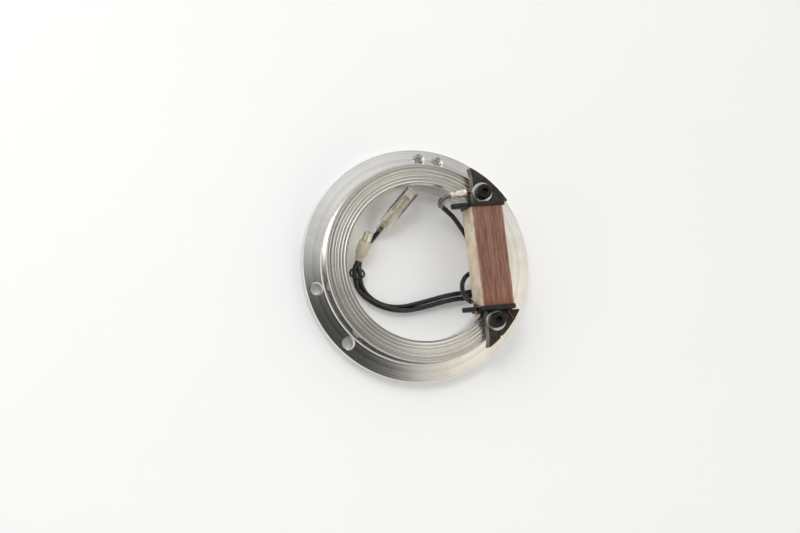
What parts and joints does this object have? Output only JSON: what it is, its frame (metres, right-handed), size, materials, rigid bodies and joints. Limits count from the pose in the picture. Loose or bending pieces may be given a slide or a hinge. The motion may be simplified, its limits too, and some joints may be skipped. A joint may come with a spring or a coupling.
{
  "type": "magneto stator plate with source coil",
  "caption": "Round machined stator plate that carries one taped source coil on a laminated two-pole core, with a two-wire lead and bullet sockets.",
  "frame": {"origin": "on the axis of the plate's rim and bore, on its flat back face", "axes": "+Z along the bore's axis, from the back face towards the coil; +X from the bore's axis to the middle of the coil; +Y along the coil, towards its start terminal"},
  "size_m": [0.11, 0.11, 0.0284],
  "materials": {
    "machined_aluminium": "satin",
    "lamination_steel": "matte",
    "bobbin_plastic": "matte",
    "enamelled_copper": "gloss",
    "cloth_tape": "matte",
    "black_oxide_steel": "satin",
    "zinc_steel": "satin",
    "tinned_pin": "satin",
    "tinned_brass": "satin",
    "bare_copper": "satin",
    "solder": "satin",
    "wire_insulation": "semi-gloss",
    "clear_vinyl": "gloss",
    "cream_vinyl": "satin",
    "slip_rubber": "matte"
  },
  "bodies": {
    "plate": {"base_ring": "machined_aluminium", "core_laminations": "lamination_steel", "bobbin_upper": "bobbin_plastic", "bobbin_lower": "bobbin_plastic", "winding": "enamelled_copper", "winding_tape": "cloth_tape", "coil_screws": "black_oxide_steel", "coil_washers": "zinc_steel", "start_pin": "tinned_pin", "end_pin": "tinned_pin", "start_wire": "enamelled_copper", "end_wire": "enamelled_copper", "tail_wire": "enamelled_copper", "start_crimp": "tinned_brass", "start_sleeve": "clear_vinyl", "start_strands": "bare_copper", "end_joint": "solder", "lead_a": "wire_insulation", "lead_b": "wire_insulation", "socket_a": "tinned_brass", "strands_a": "bare_copper", "socket_b": "tinned_brass", "strands_b": "bare_copper"},
    "sleeve_a": {"sleeve_a": "cream_vinyl"},
    "sleeve_b": {"sleeve_b": "clear_vinyl"},
    "slip_ring": {"slip_ring": "slip_rubber"}
  },
  "joints": [
    {"name": "sleeve_a_slide", "type": "slide", "parent": "plate", "child": "sleeve_a", "axis": [0.3106, 0.8119, 0.4942], "range_m": [0, 0.004]},
    {"name": "sleeve_b_slide", "type": "slide", "parent": "plate", "child": "sleeve_b", "axis": [-0.5568, -0.6234, -0.5489], "range_m": [0, 0.003]},
    {"name": "slip_ring_slide", "type": "slide", "parent": "plate", "child": "slip_ring", "axis": [0, -1, 0], "range_m": [0, 0.002]}
  ]
}
